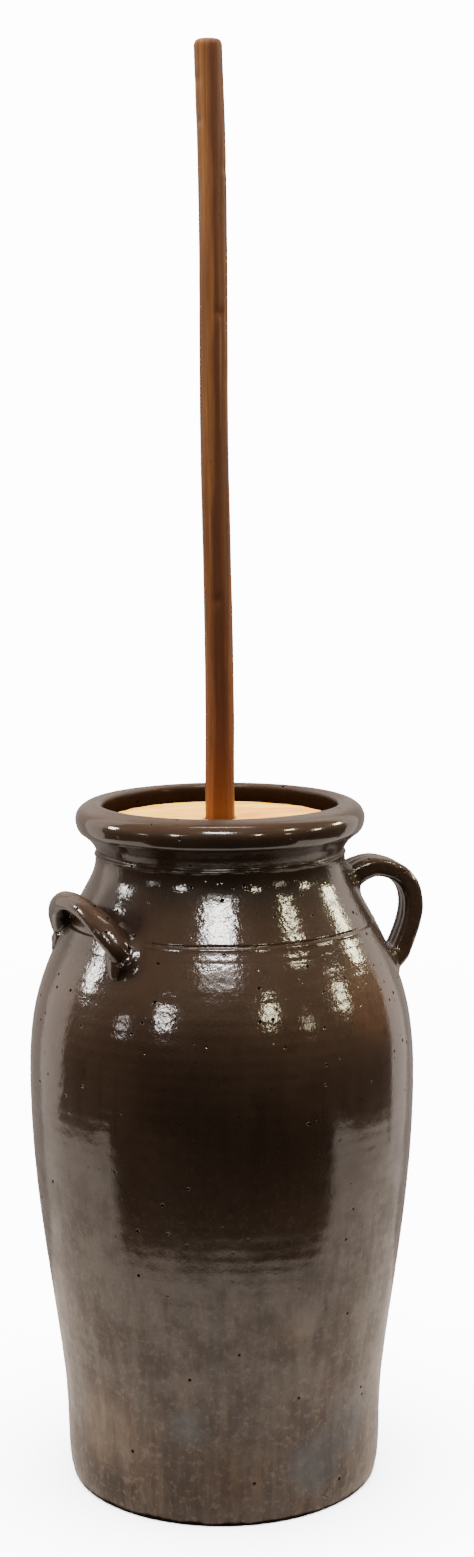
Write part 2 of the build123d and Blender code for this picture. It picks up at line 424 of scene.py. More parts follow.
def skirt(root, tail):
    """The clay smeared over the wall around one end of a handle: a thin shell that rises towards the handle.
    A tail is a tongue of clay wiped down from it."""
    columns, rows = 56, 64
    side_margin, top_margin, buried = 17 * MM, 14 * MM, 5 * MM
    tree = nearest_finder(root)
    middle, spread = root_angles(root)
    spread += side_margin / wall_radius(root[0].z)
    heights = [point.z for point in root]
    low, high = min(heights) - side_margin - tail, max(heights) + top_margin
    outer, inner = [], []
    for row in range(rows):
        height = low + (high - low) * row / (rows - 1)
        base = smooth_radius(height)
        radial, upward = wall_normal(height)
        for column in range(columns):
            turn = spread * (2 * column / (columns - 1) - 1)
            along, aside = cos(middle + turn), sin(middle + turn)
            on_wall = Vector((base * along, base * aside, height))
            far = tree.find(on_wall)[2]
            rise = smear(on_wall, far) + tongue(turn * base, min(heights) + 6 * MM - height, tail)
            for points, depth in ((outer, rise), (inner, -buried)):
                out = base + depth * radial
                points.append((out * along, out * aside, height + depth * upward))
    return outer + inner, shell_faces(rows, columns)


def smear(on_wall, far):
    """Height of the smeared clay above the wall, at a distance from the handle. Far away it dips under."""
    slope = 4.2 * MM * exp(-far / (4.5 * MM)) - 0.9 * MM
    return slope + 0.15 * MM * fractal(on_wall, 90, 2) * bell(far, 12 * MM)


def tongue(across, below, tail):
    """Height of a tail of clay wiped down the wall: a rounded point with a shallow hollow down its middle."""
    if not tail or below < 0:
        return 0.0
    along = below / (tail + 9 * MM)
    if along >= 1:
        return 0.0
    half_width = 10.5 * MM
    half = half_width * (1 - along) ** 0.6
    side = min(abs(across) / half, 1.0)
    edge = 1.9 * (1 - side ** 4) - 1.0 * (1 - side ** 2)
    return 1.9 * MM * edge * ramp(1 - along, 0, 0.25)


def build_handle(name, node, first_root, tail, detail):
    """A handle with its ends smeared into the wall: the CAD bar and its skirts, fused and softened."""
    handle = cad_copy(name, node)
    verts = [vertex.co[:] for vertex in handle.data.vertices]
    faces = [tuple(face.vertices) for face in handle.data.polygons]
    for root in split_roots(contact_points(handle), first_root):
        more, joined = skirt(root, tail)
        faces += [tuple(len(verts) + index for index in face) for face in joined]
        verts += more
    bpy.data.objects.remove(handle)
    handle = new_object(name, verts, faces)
    remesh(handle, 0.8 * MM, 7)
    push(handle, detail)
    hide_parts(node)
    return finish_piece(handle, "jar", GLAZE)


def strap_detail(point, normal):
    """Pulled clay: two shallow grooves along the strap, with slow swells from the fingers."""
    face = ramp(abs(normal.y), 0.75, 0.35)
    grooves = -0.55 * MM * (bell(point.y - 4 * MM, 2.2 * MM) + bell(point.y + 4.5 * MM, 2.2 * MM)) * face
    return grooves + 0.45 * MM * fractal(point, 45) + 0.10 * MM * fractal(point, 260)


def lug_detail(point, normal):
    """A rolled and bent bar, pressed uneven by the fingers."""
    return 0.45 * MM * fractal(point, 40) + 0.05 * MM * fractal(point, 200)


# ======== the wooden pieces ========

TENON_RADIUS = 7.9 * MM
TAPER_TOP = 760 * MM
TOP_DEPTH = 5 * MM
TOP_ROUNDING = 3.5 * MM
STAFF_LEAN = -4.8 * MM

# knocks in the staff: x, y, height and size, in millimetres
KNOCKS = [
    (-10, -3, 1018, 4.0),
    (8, -5, 958, 3.5),
    (-9, -4, 990, 2.5),
    (2, -10, 858, 3.0),
    (-3, -10, 655, 3.0),
]


def build_staff():
    """The hand-shaved staff: long uneven flats, a slight sway above the lid, dents and a worn round top."""
    around = 56
    tenon_rings = 6
    heights = staff_heights(tenon_rings)
    verts = []
    for index, height in enumerate(heights):
        tenon = index <= tenon_rings
        size = staff_size(height, tenon)
        shift = staff_sway(height)
        for step in range(around):
            angle = 2 * pi * step / around
            radius = size * staff_flats(angle, height, tenon)
            verts.append((shift.x + radius * cos(angle), shift.y + radius * sin(angle), height))
    faces = grid_faces(len(heights), around, True)
    faces.append(tuple(reversed(range(around))))
    last = (len(heights) - 1) * around
    faces.append(tuple(range(last, last + around)))
    staff = new_object("shaved_staff", verts, faces)
    push(staff, staff_dents)
    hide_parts("dasher_staff")
    return finish_piece(staff, "dasher", STAFF_WOOD)


def staff_heights(tenon_rings):
    """Heights of the staff's rings: the tenon, two at its shoulder, the shaft and the round top."""
    rings = 430
    tenon = ARM_TOP - STAFF_LOW.z
    shaft = STAFF_TOP - TOP_DEPTH - ARM_TOP
    heights = [STAFF_LOW.z + tenon * step / tenon_rings for step in range(tenon_rings)] + [ARM_TOP, ARM_TOP]
    heights += [ARM_TOP + shaft * (step / rings) for step in range(1, rings + 1)]
    return heights + [STAFF_TOP - TOP_DEPTH * (1 - sin(radians(12 * step))) for step in range(1, 8)]


def staff_size(height, tenon):
    """The staff's mean radius at a height."""
    if tenon:
        return TENON_RADIUS
    radius = STAFF_RADIUS + 0.10 * MM - 0.45 * MM * ramp(height, LID_TOP, TAPER_TOP)
    into_top = 1 - (STAFF_TOP - height) / TOP_DEPTH
    if into_top > 0:
        radius -= TOP_ROUNDING * (1 - (1 - into_top ** 2) ** 0.5)
    return radius


def staff_flats(angle, height, tenon):
    """The flats that a drawknife leaves, as a factor on the radius, drifting slowly along the staff."""
    if tenon:
        return 1.0
    turn = angle + 0.5 * fractal((0, 0, height), 5)
    nine = 0.018 * cos(9 * turn) + 0.010 * cos(5 * turn + 3 * fractal((0, 5, height), 4))
    rough = 0.010 * fractal((0.03 * cos(angle), 0.03 * sin(angle), height), 45)
    return 0.985 + nine + rough


def staff_sway(height):
    """How far the staff wanders from its axis. It stays straight up to the lid, where it runs in the hole."""
    above = max(height - LID_TOP, 0.0)
    lean = STAFF_LEAN * (above / (STAFF_TOP - LID_TOP)) ** 1.6
    free = ramp(above, 0, 80 * MM)
    wave = 0.8 * MM * sin(above * 17) * free
    return Vector((lean + wave, 0.7 * MM * sin(above * 13 + 0.4) * free, 0))


def staff_dents(point, normal):
    """Small knocks in the wood: one near the top on the left, a few further down."""
    depth = 0.0
    for x, y, z, size in KNOCKS:
        at = Vector((x, y, z)) * MM + staff_sway(z * MM)
        depth -= 0.9 * MM * bell((point - at).length, size * MM)
    return depth + 0.07 * MM * fractal((point.x, point.y, point.z * 0.08), 420)


def build_worn_board(name, node, body, material, voxel, detail):
    """A wooden piece from its CAD solid, with its edges worn round and its surface uneven."""
    board = cad_copy(name, node)
    remesh(board, voxel, 3)
    push(board, detail)
    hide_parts(node)
    return finish_piece(board, body, material)


def lid_detail(point, normal):
    """Weathered end-to-end grain: harder rings stand proud in lines along X, with worn places at the edge."""
    rings = sin(point.y / (1.9 * MM) + 2.2 * fractal((point.x * 0.35, point.y, 0), 26))
    relief = 0.07 * MM * rings * abs(normal.z)
    edge = ramp(hypot(point.x, point.y), LID_RADIUS - 5 * MM, LID_RADIUS)
    wear = -0.55 * MM * edge * ramp(fractal(point, 55, 3), 0.0, 0.7)
    return relief + wear + 0.12 * MM * fractal(point, 35) - lid_check(point) * abs(normal.z)


def lid_check(point):
    """A short drying crack beside the staff hole."""
    along = (point.x + 29 * MM) / (9 * MM)
    across = point.y - 9 * MM - 0.8 * MM * sin(point.x * 200)
    return 0.8 * MM * bell(across, 0.7 * MM) * ramp(1 - abs(along), 0, 0.5)


def arm_detail(point, normal):
    """Sawn and scraped hardwood, smoothed by cream and scrubbing."""
    return 0.18 * MM * fractal(point, 60) + 0.06 * MM * fractal((point.x * 0.3, point.y * 0.3, point.z), 400)


def finish_piece(piece, body, material):
    """Gives a piece its material and the CAD body that it rides on."""
    piece.data.materials.clear()
    piece.data.materials.append(material)
    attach(piece, body)
    return piece


# ======== materials ========

class Graph:
    """Short calls that build one material's nodes in object space."""

    def __init__(self, name):
        self.material = bpy.data.materials.new(name)
        self.material.use_nodes = True
        self.tree = self.material.node_tree
        self.tree.nodes.clear()
        self.output = self.add("OutputMaterial")
        self.shader = self.add("BsdfPrincipled")
        self.put(self.output.inputs["Surface"], self.shader.outputs[0])
        self.place = self.add("TexCoord").outputs["Object"]

    def add(self, kind, **settings):
        node = self.tree.nodes.new("ShaderNode" + kind)
        for key, value in settings.items():
            setattr(node, key, value)
        return node

    def put(self, socket, value):
        """Feeds a socket with another socket or with a constant."""
        if isinstance(value, bpy.types.NodeSocket):
            self.tree.links.new(value, socket)
        elif isinstance(value, tuple) and len(value) == 3 and socket.type == "RGBA":
            socket.default_value = (*value, 1.0)
        else:
            socket.default_value = value

    def stretched(self, scale, shift=(0, 0, 0)):
        """Object coordinates, stretched by a scale for each axis."""
        node = self.add("Mapping")
        self.put(node.inputs["Vector"], self.place)
        node.inputs["Scale"].default_value = scale
        node.inputs["Location"].default_value = shift
        return node.outputs[0]

    def noise(self, scale, detail=3.0, roughness=0.55, vector=None, distortion=0.0):
        """Smooth noise around 0.5, with features about 1/scale metres across."""
        node = self.add("TexNoise")
        self.put(node.inputs["Vector"], vector or self.place)
        node.inputs["Scale"].default_value = scale
        node.inputs["Detail"].default_value = detail
        node.inputs["Roughness"].default_value = roughness
        node.inputs["Distortion"].default_value = distortion
        return node.outputs["Fac"]

    def pinholes(self, scale, radius, rare):
        """Round spots, 1 in their middles, in some of the cells 1/scale metres across. The radius is a share
        of a cell. The larger rare is, from 0 to 1, the fewer spots there are."""
        node = self.add("TexVoronoi")
        self.put(node.inputs["Vector"], self.place)
        node.inputs["Scale"].default_value = scale
        chance = self.add("SeparateColor")
        self.put(chance.inputs[0], node.outputs["Color"])
        spots = self.remap(node.outputs["Distance"], radius, 0.4 * radius)
        return self.times(spots, self.remap(chance.outputs[0], rare, rare + 0.03))

    def near(self, patches):
        """1 at the middle of any patch, fading to 0 at its reach. Patches are in millimetres."""
        share = 0.0
        for x, y, z, reach in patches:
            away = self.add("VectorMath", operation="DISTANCE")
            self.put(away.inputs[0], self.place)
            away.inputs[1].default_value = (x * MM, y * MM, z * MM)
            share = self.most(share, self.remap(away.outputs["Value"], reach * MM, 0.35 * reach * MM))
        return share

    def remap(self, value, low, high, bottom=0.0, top=1.0):
        """Bottom where value is low, top where it is high, smooth in between. Low may be the larger one."""
        node = self.add("MapRange", interpolation_type="SMOOTHSTEP")
        for socket, given in zip(node.inputs, (value, low, high, bottom, top)):
            self.put(socket, given)
        return node.outputs[0]

    def math(self, operation, a, b=0.0):
        node = self.add("Math", operation=operation)
        self.put(node.inputs[0], a)
        self.put(node.inputs[1], b)
        return node.outputs[0]

    def times(self, a, b):
        return self.math("MULTIPLY", a, b)

    def plus(self, a, b):
        return self.math("ADD", a, b)

    def less(self, a, b):
        return self.math("SUBTRACT", a, b)

    def most(self, a, b):
        return self.math("MAXIMUM", a, b)

    def along(self, axis):
        """The point's X, Y or Z in the frame."""
        parts = self.add("SeparateXYZ")
        self.put(parts.inputs[0], self.place)
        return parts.outputs[axis]

    def height(self):
        return self.along("Z")

    def from_axis(self):
        """The point's distance from the Z axis."""
        flat = self.add("VectorMath", operation="MULTIPLY")
        self.put(flat.inputs[0], self.place)
        flat.inputs[1].default_value = (1, 1, 0)
        length = self.add("VectorMath", operation="LENGTH")
        self.put(length.inputs[0], flat.outputs[0])
        return length.outputs["Value"]

    def mix(self, share, a, b):
        """A blend of two colours."""
        node = self.add("Mix", data_type="RGBA")
        self.put(node.inputs["Factor"], share)
        self.put(node.inputs["A"], a)
        self.put(node.inputs["B"], b)
        return node.outputs["Result"]

    def mix_value(self, share, a, b):
        """A blend of two numbers."""
        node = self.add("Mix", data_type="FLOAT")
        self.put(node.inputs[0], share)
        self.put(node.inputs[2], a)
        self.put(node.inputs[3], b)
        return node.outputs[0]

    def bump(self, height, distance, normal=None):
        """Shading relief: height from 0 to 1 stands for the given distance in metres."""
        node = self.add("Bump")
        node.inputs["Strength"].default_value = 1.0
        node.inputs["Distance"].default_value = distance
        self.put(node.inputs["Height"], height)
        if normal:
            self.put(node.inputs["Normal"], normal)
        return node.outputs[0]

    def finish(self, **inputs):
        """Feeds the surface shader's inputs, their names written with underscores."""
        for name, value in inputs.items():
            self.put(self.shader.inputs[name.replace("_", " ")], value)
        return self.material


# where the glaze on this jar changed colour, and where shade is painted at the handles' roots: middle and
# reach, in millimetres
TAN_PATCHES = [(-103, -55, 62, 42), (20, -112, 150, 26)]
RUST_PATCHES = [(-21, -115, 44, 30), (88, -99, 376, 42)]
BLUE_PATCHES = [(43, -108, 41, 34), (69, -95, 60, 30), (-52, -107, 76, 20)]
# painted shade: the dark hollows between the handles' roots and the wall
LUG_ROOT_SHADE = [(-89, -46, 444, 24), (-82, -68, 432, 20), (-86, -84, 408, 18)]
STRAP_ROOT_SHADE = [(100, 0, 440, 22), (120, 0, 372, 20)]
HANDLE_ROOT_SHADE = LUG_ROOT_SHADE + STRAP_ROOT_SHADE

# their colours, and how fully each covers the brown
PATCHES = [
    (TAN_PATCHES, (0.190, 0.122, 0.072), 0.85),
    (RUST_PATCHES, (0.085, 0.036, 0.014), 0.65),
    (BLUE_PATCHES, (0.072, 0.080, 0.086), 0.75),
    # painted shade at the handles' roots, nearly black
    (HANDLE_ROOT_SHADE, (0.008, 0.004, 0.003), 0.9),
]

DEEP_BROWN = (0.026, 0.0130, 0.0068)
LIGHT_BROWN = (0.043, 0.0232, 0.0130)
DARK_RUN = (0.016, 0.0075, 0.0042)
THIN_STREAK = (0.118, 0.068, 0.040)
PALE_SPECK = (0.19, 0.125, 0.080)
IRON_BLOTCH = (0.013, 0.007, 0.005)
PIT_BLACK = (0.003, 0.002, 0.002)
SAND_GRAIN = (0.42, 0.36, 0.29)
# painted shade: the unglazed foot edge, darkened where it meets the floor
BARE_FOOT_SHADE = (0.016, 0.010, 0.009)
# painted shade: the inside of the mouth
MOUTH_SHADE = (0.006, 0.0035, 0.0025)


def glaze_tones(g, runs):
    """Two blotchy browns with dark runs down the body, and the streaks and specks of thin glaze low down."""
    height = g.height()
    low = g.remap(height, 0.30, 0.03)
    fine_runs = g.noise(1.0, 4, 0.6, g.stretched((330, 330, 30)))
    color = g.mix(g.remap(g.noise(9, 4, 0.6), 0.35, 0.68), DEEP_BROWN, LIGHT_BROWN)
    dark_runs = g.times(g.remap(height, 0.38, 0.28), g.remap(runs, 0.40, 0.75, 0.0, 0.55))
    color = g.mix(dark_runs, color, DARK_RUN)
    streaks = g.times(g.remap(runs, 0.40, 0.66, 0.15, 0.85), g.remap(fine_runs, 0.3, 0.7, 0.7, 1.0))
    color = g.mix(g.times(low, streaks), color, THIN_STREAK)
    specks = g.times(low, g.remap(g.noise(210, 3, 0.6), 0.52, 0.68, 0.0, 0.7))
    return g.mix(specks, color, PALE_SPECK)


def glaze_patches(g, color, runs, mottle):
    """The ragged patches where the glaze turned tan, rust or bluish, and the painted shade in the hollows at
    the handles' roots.
    """
    ragged = g.remap(g.plus(g.times(runs, 0.7), g.times(mottle, 0.3)), 0.30, 0.66, 0.35, 1.0)
    for patches, paint, cover in PATCHES:
        color = g.mix(g.times(g.times(g.near(patches), ragged), cover), color, paint)
    return color


def glaze_gloss(g, runs):
    """Roughness of the glassy top: least on the shoulder, more on the body, streaky at the foot."""
    height = g.height()
    gloss = g.remap(g.noise(30, 4, 0.6), 0.3, 0.7, 0.07, 0.12)
    streaky = g.times(g.remap(height, 0.2, 0.03), g.remap(runs, 0.35, 0.7, 0.05, 0.18))
    return g.plus(g.plus(gloss, streaky), g.remap(height, 0.35, 0.25, 0.0, 0.06))


def glaze_relief(g, pits):
    """Slow swells, the fine peel that breaks up the highlights, mostly on the shoulder, and the pits."""
    height = g.height()
    swells = g.bump(g.noise(26, 2, 0.5), 0.6 * MM)
    shoulder = g.times(g.remap(height, 0.30, 0.42, 0.30, 1.0), g.remap(height, 0.490, 0.475, 0.25, 1.0))
    peel = g.bump(g.times(g.noise(290, 3, 0.55), shoulder), 0.22 * MM, swells)
    return g.bump(g.less(1.0, pits), 0.5 * MM, peel)


def glaze_shine(g, runs, matt):
    """How strongly the glaze shines: not where it is matt, less in the painted shade at the handles' roots
    and in the neck, cloudily low down.
    """
    height = g.height()
    cloudy = g.plus(g.times(runs, 0.25), g.times(g.noise(30, 7, 0.78), 0.75))
    dull = g.times(g.remap(cloudy, 0.40, 0.60, 0.62, 1.0), g.remap(height, 0.0, 0.10, 0.62, 1.0))
    neck = g.times(g.remap(height, 0.462, 0.471), g.remap(height, 0.490, 0.485))
    shine = g.times(g.less(1.0, matt), g.mix_value(g.remap(height, 0.36, 0.20), 1.0, dull))
    # less shine in the painted shade at the handles' roots
    shine = g.times(shine, g.less(1.0, g.times(g.near(HANDLE_ROOT_SHADE), 0.45)))
    return g.times(shine, g.less(1.0, g.times(neck, 0.4)))


def glaze():
    """Brown slip glaze on stoneware, with pinholes, pits and sand grains, an unglazed matt foot edge darkened
    as painted shade, and a dull mouth darkened as painted shade.
    """
    g = Graph("brown_slip_glaze")
    height = g.height()
    runs = g.noise(1.0, 5, 0.65, g.stretched((95, 95, 9)))
    mottle = g.noise(70, 5, 0.7)
    pinholes = g.times(g.pinholes(105, 0.165, 0.50), g.remap(height, 0.28, 0.36, 0.10, 1.0))
    pits = g.most(pinholes, g.pinholes(60, 0.105, 0.60))
    # the unglazed foot edge: matt, and darkened as painted shade
    bare_and_shaded_foot = g.remap(g.plus(height, g.times(g.noise(60, 3), 6 * MM)), 7.5 * MM, 5.5 * MM)
    # the inside of the mouth: dulled, and darkened as painted shade
    mouth = g.remap(g.from_axis(), MOUTH_RADIUS + 2.5 * MM, MOUTH_RADIUS + 0.5 * MM)
    color = glaze_patches(g, glaze_tones(g, runs), runs, mottle)
    color = g.mix(g.remap(mottle, 0.55, 0.72, 0.0, 0.45), color, IRON_BLOTCH)
    color = g.mix(pits, color, PIT_BLACK)
    color = g.mix(g.pinholes(31, 0.022, 0.92), color, SAND_GRAIN)
    color = g.mix(bare_and_shaded_foot, color, BARE_FOOT_SHADE)
    color = g.mix(g.times(mouth, 0.8), color, MOUTH_SHADE)
    shine = glaze_shine(g, runs, g.most(g.most(pits, bare_and_shaded_foot), mouth))
    normal = glaze_relief(g, pits)
    return g.finish(
        Base_Color=color,
        Roughness=0.44,
        IOR=1.5,
        Specular_IOR_Level=g.times(shine, 0.12),
        Specular_Tint=(1.0, 0.80, 0.62),
        Coat_Weight=g.times(shine, 0.92),
        Coat_Roughness=glaze_gloss(g, runs),
        Coat_IOR=1.75,
        Normal=normal,
        Coat_Normal=normal,
    )


def wood(name, axis, light, dark, streak, polish, relief, narrow=14.0):
    """Straight-grained wood: bands and fibres drawn out along one axis, pores, stains and a worn polish."""
    g = Graph(name)
    bands = g.noise(9, 4, 0.6, g.stretched(drawn_out(axis, 1.0, narrow)), 0.6)
    fine = g.noise(75, 4, 0.65, g.stretched(drawn_out(axis, 0.35, narrow)))
    stain = g.noise(14, 4, 0.6)
    pores = g.remap(g.noise(420, 2, 0.5, g.stretched(drawn_out(axis, 0.05, 1.0))), 0.60, 0.70)
    color = g.mix(g.remap(bands, 0.32, 0.68), light, dark)
    color = g.mix(g.remap(fine, 0.50, 0.72, 0.0, 0.75), color, streak)
    color = g.mix(g.remap(stain, 0.50, 0.80, 0.0, 0.45), color, dark)
    color = g.mix(g.times(pores, 0.5), color, streak)
    rough = g.remap(fine, 0.3, 0.75, polish, polish + 0.22)
    grain = g.less(g.times(fine, 0.6), g.times(pores, 0.8))
    normal = g.bump(grain, relief, g.bump(bands, 2 * relief))
    return g.finish(Base_Color=color, Roughness=rough, Normal=normal, IOR=1.45)


def drawn_out(axis, along, across):
    """A scale for each axis that draws a pattern out along one of them."""
    return [along if each == axis else across for each in "xyz"]


# painted light: the staff's front and back are shaded, its flanks lit from the sides
STAFF_SHADED_FRONT = (0.098, 0.032, 0.0095)
STAFF_LIT_FLANK = (0.22, 0.082, 0.021)
STAFF_SHADE = (0.080, 0.025, 0.008)
STAFF_FIBRE = (0.055, 0.017, 0.006)
STAFF_GLINT = (0.36, 0.15, 0.042)
STAFF_RED = (0.070, 0.018, 0.005)
WORM_HOLE = (0.02, 0.008, 0.004)
CHIPPED_WOOD = (0.55, 0.42, 0.30)


def staff_wood():
    """Dark oiled wood, redder low down, with painted light: darker brown along the front and the back as
    painted shade, lighter orange-brown flanks as painted light from the sides.
    """
    g = Graph("oiled_staff")
    fibre = g.noise(1.0, 5, 0.65, g.stretched((420, 420, 9)))
    wide = g.noise(1.0, 4, 0.6, g.stretched((120, 120, 7), (3, 2, 1)))
    drift = g.times(g.less(g.noise(1.0, 3, 0.5, g.stretched((60, 60, 6))), 0.5), 12 * MM)
    from_middle = g.plus(g.math("ABSOLUTE", g.along("X")), drift)
    # painted light and shade: darker front and back, lighter flanks
    color = g.mix(g.remap(from_middle, 4.8 * MM, 7.2 * MM), STAFF_SHADED_FRONT, STAFF_LIT_FLANK)
    color = g.mix(g.remap(wide, 0.38, 0.66, 0.0, 0.6), color, STAFF_SHADE)
    color = g.mix(g.remap(fibre, 0.50, 0.74, 0.0, 0.7), color, STAFF_FIBRE)
    color = g.mix(g.remap(fibre, 0.46, 0.28, 0.0, 0.35), color, STAFF_GLINT)
    color = g.mix(g.remap(g.height(), 0.75, 0.52, 0.0, 0.55), color, STAFF_RED)
    color = g.mix(g.pinholes(150, 0.10, 0.86), color, WORM_HOLE)
    color = g.mix(g.pinholes(47, 0.03, 0.80), color, CHIPPED_WOOD)
    rough = g.remap(fibre, 0.3, 0.75, 0.42, 0.6)
    normal = g.bump(fibre, 0.1 * MM, g.bump(wide, 0.2 * MM))
    return g.finish(Base_Color=color, Roughness=rough, Normal=normal, IOR=1.45, Specular_IOR_Level=0.22)


def old_iron():
    """Dark nail iron with brown rust in the hollows."""
    g = Graph("old_iron")
    rust = g.remap(g.noise(500, 4, 0.65), 0.45, 0.65)
    color = g.mix(rust, (0.10, 0.095, 0.09), (0.14, 0.055, 0.022))
    rough = g.remap(rust, 0.0, 1.0, 0.38, 0.85)
    metallic = g.remap(rust, 0.0, 1.0, 0.9, 0.1)
    normal = g.bump(g.noise(900, 3, 0.6), 0.15 * MM)
    return g.finish(Base_Color=color, Roughness=rough, Metallic=metallic, Normal=normal)


GLAZE = glaze()
STAFF_WOOD = staff_wood()
PINE = {"light": (0.99, 0.61, 0.06), "dark": (0.84, 0.30, 0.014), "streak": (0.30, 0.065, 0.006)}
MAPLE = {"light": (0.42, 0.26, 0.13), "dark": (0.30, 0.17, 0.08), "streak": (0.16, 0.08, 0.035)}
LID_PINE = wood("pale_pine", "x", **PINE, polish=0.55, relief=0.10 * MM, narrow=4.5)
ARM_WOOD_X = wood("scrubbed_maple_x", "x", **MAPLE, polish=0.50, relief=0.15 * MM)
ARM_WOOD_Y = wood("scrubbed_maple_y", "y", **MAPLE, polish=0.50, relief=0.15 * MM)
IRON = old_iron()


# ======== the pieces ========

LID_VOXEL = 1.0 * MM
ARM_VOXEL = 1.2 * MM

build_jar()
build_handle("smeared_strap", "strap_handle", lambda p: p.z > 410 * MM, 0.0, strap_detail)
build_handle("smeared_lug", "lug_handle", lambda p: p.y < -20 * MM, 6 * MM, lug_detail)
build_staff()
build_worn_board("worn_lid", "lid_disc", "lid", LID_PINE, LID_VOXEL, lid_detail)
for side in ("front", "back"):
    cleat = "lid_cleat_" + side
    build_worn_board("worn_cleat_" + side, cleat, "lid", LID_PINE, LID_VOXEL, arm_detail)
for arm, maple in (("upper_arm", ARM_WOOD_X), ("lower_arm", ARM_WOOD_Y)):
    build_worn_board("worn_" + arm, "dasher_" + arm, "dasher", maple, ARM_VOXEL, arm_detail)
for node in ("lid_nails", "dasher_lap_nails", "dasher_washer", "dasher_core_nail"):
    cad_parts[node].data.materials.clear()
    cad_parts[node].data.materials.append(IRON)


# ======== the studio ========

VIEW_AZIMUTH = radians(-13)
VIEW_RIGHT = Vector((cos(VIEW_AZIMUTH), sin(VIEW_AZIMUTH), 0))
VIEW_BACK = Vector((sin(VIEW_AZIMUTH), -cos(VIEW_AZIMUTH), 0))
SURROUND = 40
SURROUND_GLOW = 14

WHITE = (1, 0.97, 0.94)
YELLOW = (1, 0.92, 0.62)

TABLE_COLOR = (1, 0.86, 0.73)
WALL_COLOR = (1, 0.86, 0.76)
LAMP_COLOR = (1, 0.98, 0.95)

# the edges of the white table that the glaze mirrors, from the jar's middle
TABLE_FRONT = 0.43
TABLE_BACK = -0.33
TABLE_HALF = 0.955
# its near edge, where someone stands in a bay of it: degrees to the right of the camera, and reach
TABLE_BAY = [(-57, 0.480), (-28, 0.470), (0, 0.462), (28, 0.455), (50, 0.460), (62, 0.56)]
# the wall at its back: name, left end, right end and brightness
WALLS = [("wall_left", -1.46, -0.5, 1.28), ("wall", -0.5, 0.4, 0.5), ("wall_right", 0.4, 0.78, 1.35)]
WALL_TOP = 1.7

PANEL_DISTANCE = 6
SHOULDER = 0.42

# bright panels in the room, as seen from the jar: degrees to the right of the camera, degrees up, width and
# height in degrees, brightness and colour. They show only as highlights.
PANELS = [
    (-1.5, 45, 24, 6, 60, WHITE),
    (-1.5, 36.5, 26, 3, 5, WHITE),
    (65, 39, 7, 5, 50, YELLOW),
    (111, 19.5, 8, 7, 44, YELLOW),
    (-96, 20, 7, 10, 40, WHITE),
    (-35, 19.5, 6, 6, 36, WHITE),
    (31, 22, 5, 6, 36, YELLOW),
    (83, 17, 6, 6, 32, YELLOW),
    (55, 14, 4, 3, 12, YELLOW),
    (-63, 11, 6, 4, 8, WHITE),
    (0, 78, 150, 8, 16, WHITE),
    (160, 38, 30, 10, 20, WHITE),
    (-150, 34, 22, 10, 20, WHITE),
]


def from_camera(right, toward, up):
    """A point given to the camera's right, towards the camera and up, from the centre of the jar's foot."""
    return VIEW_RIGHT * right + VIEW_BACK * toward + Vector((0, 0, up))


def emitter(name, strength, color=(1, 1, 1)):
    """A plain glowing material for the studio's surfaces."""
    material = bpy.data.materials.new(name)
    material.use_nodes = True
    nodes = material.node_tree.nodes
    nodes.clear()
    glow = nodes.new("ShaderNodeEmission")
    glow.inputs["Color"].default_value = (*color, 1)
    glow.inputs["Strength"].default_value = strength
    output = nodes.new("ShaderNodeOutputMaterial")
    material.node_tree.links.new(glow.outputs[0], output.inputs["Surface"])
    return material


def studio_surface(name, corners, material):
    """A flat studio surface."""
    mesh = bpy.data.meshes.new(name)
    mesh.from_pydata([corner[:] for corner in corners], [], [tuple(range(len(corners)))])
    mesh.materials.append(material)
    surface = bpy.data.objects.new(name, mesh)
    bpy.context.scene.collection.objects.link(surface)
    return surface


def studio_shell(name, radius, material):
    """A round shell about the whole studio."""
    mesh = bpy.data.meshes.new(name)
    shell = bmesh.new()
    bmesh.ops.create_uvsphere(shell, u_segments=64, v_segments=32, radius=radius)
    shell.to_mesh(mesh)
    shell.free()
    mesh.materials.append(material)
    surface = bpy.data.objects.new(name, mesh)
    bpy.context.scene.collection.objects.link(surface)
    return surface


def seen_only_by(surface, ray):
    """Limits a studio surface to one kind of ray, so that it shows without lighting anything."""
    for kind in ("camera", "diffuse", "glossy", "transmission", "shadow"):
        setattr(surface, "visible_" + kind, kind == ray)


def floor_paint():
    """Matt white that fades into the glowing surround away from the object."""
    g = Graph("pale_floor")
    g.finish(Base_Color=(0.86, 0.86, 0.865), Roughness=0.9)
    flat = g.add("VectorMath", operation="LENGTH")
    g.put(flat.inputs[0], g.place)
    glow = g.add("Emission")
    glow.inputs["Strength"].default_value = SURROUND_GLOW
    blend = g.add("MixShader")
    g.put(blend.inputs[0], g.remap(flat.outputs["Value"], 0.35, 2.2))
    g.put(blend.inputs[1], g.shader.outputs[0])
    g.put(blend.inputs[2], glow.outputs[0])
    g.put(g.output.inputs["Surface"], blend.outputs[0])
    return g.material


def build_floor():
    """The pale floor, and a lamp that brightens the floor alone and lets the object shade it."""
    turns = [radians(15 * step) for step in range(24)]
    corners = [Vector((SURROUND * cos(turn), SURROUND * sin(turn), 0)) for turn in turns]
    floor = studio_surface("floor", corners, floor_paint())
    floor.visible_glossy = False
    floor.visible_diffuse = False
    only_floor = bpy.data.collections.new("floor_only")
    only_floor.objects.link(floor)
    wash = lamp("floor_wash", Vector((0, 0, 3.2)), Vector((0, 0, 0)), 5.0, 5.0, 2300)
    wash.light_linking.receiver_collection = only_floor


def build_backdrop():
    """A white surround that only the camera sees."""
    seen_only_by(studio_shell("backdrop", SURROUND + 5, emitter("white_surround", SURROUND_GLOW)), "camera")


def mirrored(name, corners, strength, color):
    """A glowing surface that shows only in the glaze."""
    seen_only_by(studio_surface(name, corners, emitter(name, strength, color)), "glossy")


